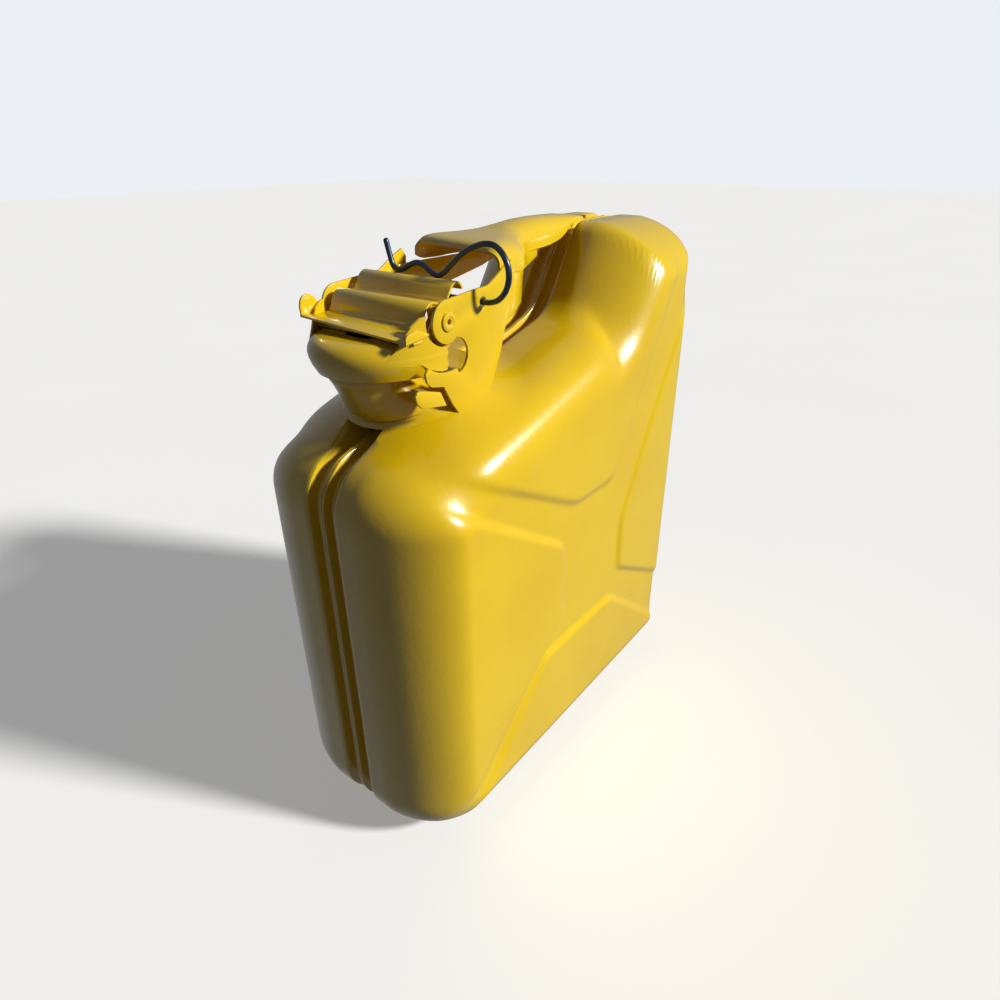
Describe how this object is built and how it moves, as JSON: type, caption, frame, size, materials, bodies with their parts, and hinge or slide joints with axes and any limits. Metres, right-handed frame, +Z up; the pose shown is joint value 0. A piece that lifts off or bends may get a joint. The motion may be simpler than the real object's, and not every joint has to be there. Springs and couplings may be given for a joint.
{
  "type": "jerry can",
  "caption": "Small pressed steel fuel can with recessed seam, forward neck, lever cap and wire locking clip.",
  "frame": {"origin": "centre of the bounding box footprint, on the surface the can stands on", "axes": "+Z up, +X from the spout end to the rear end, Y across the can's narrow width"},
  "size_m": [0.254, 0.123, 0.3046],
  "materials": {
    "yellow_paint": "gloss enamel over pressed steel",
    "zinc_steel": "zinc plated",
    "black_rubber": "matt",
    "blued_spring_wire": "blue-black spring wire"
  },
  "bodies": {
    "can": {"left_shell": "yellow_paint", "right_shell": "yellow_paint", "filler_neck": "yellow_paint", "mouth_ring": "yellow_paint", "breather_tube": "yellow_paint", "left_cheek": "yellow_paint", "right_cheek": "yellow_paint", "hood": "yellow_paint", "handle": "yellow_paint", "handle_weld": "yellow_paint", "left_gusset": "yellow_paint", "right_gusset": "yellow_paint", "neck_lug": "yellow_paint", "left_pivot_rivet": "yellow_paint", "right_pivot_rivet": "yellow_paint"},
    "cap": {"cap_pan": "yellow_paint", "cap_yoke": "yellow_paint", "cap_rivet": "zinc_steel", "gasket": "black_rubber", "gasket_plate": "zinc_steel"},
    "lever": {"lever": "yellow_paint"},
    "clip": {"locking_clip": "blued_spring_wire"}
  },
  "joints": [
    {"name": "cap_hinge", "type": "hinge", "parent": "can", "child": "cap", "pos_m": [-0.0757, 0, 0.274], "axis": [0, 1, 0], "range_deg": [0, 80]},
    {"name": "lever_hinge", "type": "hinge", "parent": "cap", "child": "lever", "pos_m": [-0.0757, 0, 0.274], "axis": [0, 1, 0], "range_deg": [0, 22]},
    {"name": "clip_pull", "type": "slide", "parent": "can", "child": "clip", "axis": [0, -1, 0], "range_m": [0, 0.085]}
  ]
}
